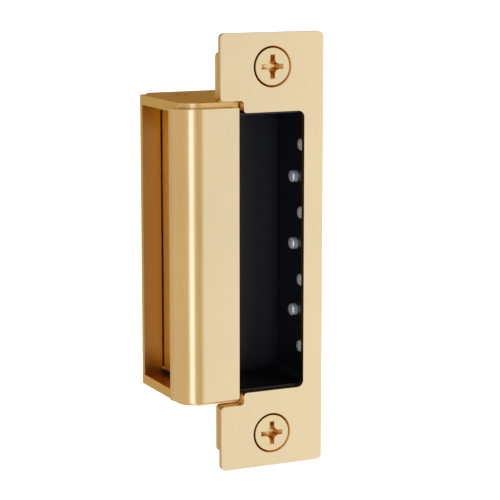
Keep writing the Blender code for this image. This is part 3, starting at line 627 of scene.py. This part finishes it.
def add_springs():
    """Conical springs behind the pins, and the one that draws the plunger back."""
    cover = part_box("side_cover")[0][0]
    for number in range(1, PIN_COUNT + 1):
        node = f"latch_pin_spring_{number}"
        pin_low, _, middle = box_of(f"latch_pin_{number}")
        left = pin_low.x + (PIN_FLANGE_BACK + LATCH_INSET) * MM
        right = cover - LATCH_INSET * MM
        points = coil_points(
            Vector((left, middle.y, middle.z)), Vector((right, middle.y, middle.z)),
            *LATCH_RADII, LATCH_TURNS,
        )
        spring = show(node + "_wound", wire(points, LATCH_WIRE), node)
        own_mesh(spring)
    node = "plunger_return_spring"
    low, high, middle = box_of(node)
    inset = Vector((RETURN_WIRE, 0, 0)) * MM
    points = coil_points(
        Vector((low.x, middle.y, middle.z)) + inset, Vector((high.x, middle.y, middle.z)) - inset,
        RETURN_RADIUS, RETURN_RADIUS, RETURN_TURNS,
    )
    spring = show(node + "_wound", wire(points, RETURN_WIRE), node)
    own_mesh(spring)


HINGE_WIRE, HINGE_COIL, HINGE_TURNS = 0.32, 2.6, 7.25
HINGE_FIXED_LEG, HINGE_MOVING_LEG = 9.5, 3.6
HINGE_START = math.radians(270)


def add_keeper_spring():
    """Torsion spring on the hinge pin: a coil with its fixed leg, and the keeper's own leg."""
    node = "keeper_spring"
    low, high, _ = box_of(node)
    centre = box_of("keeper_hinge_pin")[2]
    bottom, top = low.z + HINGE_WIRE * MM, high.z - HINGE_WIRE * MM
    radius = HINGE_COIL * MM
    points = [Vector((centre.x + HINGE_FIXED_LEG * MM, centre.y - radius, bottom))]
    count = int(HINGE_TURNS * TURN_POINTS)
    for k in range(count + 1):
        angle = HINGE_START - math.tau * k / TURN_POINTS
        points.append(Vector((
            centre.x + radius * math.cos(angle), centre.y + radius * math.sin(angle),
            bottom + (top - bottom) * k / count,
        )))
    show(node + "_wound", wire(points, HINGE_WIRE), node, "strike_body")
    end = points[-1]
    leg = [end, end + Vector((0, HINGE_MOVING_LEG * MM, 0))]
    show(node + "_leg", wire(leg, HINGE_WIRE), node, "keeper")


WINDING_PITCH = 0.30
WINDING_STEPS = 6           # points across each ridge
WINDING_DEPTH = 1.1


def add_coil():
    """The solenoid's winding, with a ridge for each turn of its outer layer."""
    node = "solenoid_coil"
    low, high, middle = box_of(node)
    half = (high.x - low.x) / MM / 2
    outer = (high.z - low.z) / MM / 2
    inner = outer - WINDING_DEPTH
    ridge = WINDING_PITCH / 2
    turns = int(2 * half / WINDING_PITCH)
    profile = [(inner, -half)]
    for k in range(turns * WINDING_STEPS + 1):
        angle = math.pi * (k % WINDING_STEPS) / WINDING_STEPS
        along = -half + 2 * half * k / (turns * WINDING_STEPS)
        profile.append((outer - ridge + ridge * math.sin(angle), along))
    profile.append((inner, half))
    show(node + "_wound", turned(profile, middle), node)


# --- Floor, light, world ----------------------------------------------------------------------

FLOOR_DROP = 0.25           # the strike hangs in the air, so the floor lies well below it
FLOOR_HALF = 30.0
FLOOR_GREYS = (0.90, 0.90, 0.90), (0.94, 0.94, 0.94)
FLOOR_GLOW = 0.75
WHITE = (1, 1, 1, 1)


def add_floor():
    level = cad_low.z - FLOOR_DROP
    mesh = bpy.data.meshes.new("floor")
    corners = [(-1, -1), (1, -1), (1, 1), (-1, 1)]
    points = [(x * FLOOR_HALF, y * FLOOR_HALF, level) for x, y in corners]
    mesh.from_pydata(points, [], [range(4)])
    made = Surface("floor_paint")
    made.set(colour=made.mix(made.noise(2, 2), *FLOOR_GREYS), roughness=0.9)
    made.shader.inputs["Emission Color"].default_value = WHITE
    made.shader.inputs["Emission Strength"].default_value = FLOOR_GLOW
    mesh.materials.append(made.material)
    floor = bpy.data.objects.new("floor", mesh)
    floor.visible_glossy = False
    bpy.context.scene.collection.objects.link(floor)


# A tall strip of light, in front on the left. It draws the streak on the keeper's round edge.
STRIP_AZIMUTH = math.radians(-33.5)
STRIP_DISTANCE = 1.3
STRIP_SIZE = (0.44, 1.6)
STRIP_POWER = 3.2
STRIP_COLOUR = (0.70, 1.0, 2.2)


def add_strip():
    back = direction(STRIP_AZIMUTH, 0)
    data = bpy.data.lights.new("strip", "AREA")
    data.shape = "RECTANGLE"
    data.size, data.size_y = STRIP_SIZE
    data.energy = STRIP_POWER
    data.color = STRIP_COLOUR
    light = bpy.data.objects.new("strip", data)
    light.location = back * STRIP_DISTANCE
    light.rotation_mode = "QUATERNION"
    light.rotation_quaternion = (-back).to_track_quat("-Z", "Y")
    light.visible_camera = False
    bpy.context.scene.collection.objects.link(light)


# The studio's walls: azimuth in degrees as in direction(), brightness and warmth.
WALLS = [
    (-180, 0.40, 0), (-155, 0.58, 0), (-110, 0.72, 0), (-60, 0.70, 0), (-15, 0.68, 0),
    (5, 0.62, 1), (20, 0.88, 0), (45, 1.50, -1), (80, 1.10, 0), (120, 0.60, 0), (155, 0.40, 0),
    (180, 0.40, 0),
]
WALL_SCALE = 2.0            # the ramp's colours are divided by this, and its strength multiplied
WALL_FOOT, WALL_HEAD = (-0.6, 1.15), (0.6, 0.85)    # a direction's Z, and the brightness there
WARM_CAST = (0.03, 0.0, -0.06)


def add_world():
    """Pale walls, brightest in front on the right, and plain white where the camera sees them."""
    world = bpy.data.worlds.new("studio")
    world.use_nodes = True
    tree = world.node_tree
    add, link = tree.nodes.new, tree.links.new
    place, split = add("ShaderNodeTexCoord"), add("ShaderNodeSeparateXYZ")
    link(place.outputs["Generated"], split.inputs[0])
    flip, turn = add("ShaderNodeMath"), add("ShaderNodeMath")
    flip.operation = "MULTIPLY"
    flip.inputs[1].default_value = -1
    turn.operation = "ARCTAN2"
    link(split.outputs["Y"], flip.inputs[0])
    link(split.outputs["X"], turn.inputs[0])
    link(flip.outputs[0], turn.inputs[1])
    share = add("ShaderNodeMapRange")
    share.inputs["From Min"].default_value = -math.pi
    share.inputs["From Max"].default_value = math.pi
    link(turn.outputs[0], share.inputs["Value"])
    walls = add("ShaderNodeValToRGB")
    walls.color_ramp.interpolation = "EASE"
    while len(walls.color_ramp.elements) < len(WALLS):
        walls.color_ramp.elements.new(0.5)
    for element, (azimuth, brightness, warmth) in zip(walls.color_ramp.elements, WALLS):
        element.position = (azimuth + 180) / 360
        level = brightness / WALL_SCALE
        element.color = (*(level * (1 + warmth * cast) for cast in WARM_CAST), 1)
    link(share.outputs["Result"], walls.inputs["Fac"])
    height = add("ShaderNodeMapRange")
    (foot, below), (head, above) = WALL_FOOT, WALL_HEAD
    levels = (foot, head, below * WALL_SCALE, above * WALL_SCALE)
    for socket, number in zip(height.inputs[1:5], levels):
        socket.default_value = number
    link(split.outputs["Z"], height.inputs["Value"])
    room = tree.nodes["Background"]
    link(walls.outputs["Color"], room.inputs["Color"])
    link(height.outputs["Result"], room.inputs["Strength"])
    white = add("ShaderNodeBackground")
    white.inputs["Color"].default_value = WHITE
    rays, choose = add("ShaderNodeLightPath"), add("ShaderNodeMixShader")
    link(rays.outputs["Is Camera Ray"], choose.inputs[0])
    link(room.outputs[0], choose.inputs[1])
    link(white.outputs[0], choose.inputs[2])
    link(choose.outputs[0], tree.nodes["World Output"].inputs["Surface"])
    bpy.context.scene.world = world


add_camera()
dress_nodes()
add_latch_pins()
add_springs()
add_keeper_spring()
add_coil()
add_floor()
add_strip()
add_world()
bpy.context.scene.view_settings.view_transform = "Standard"
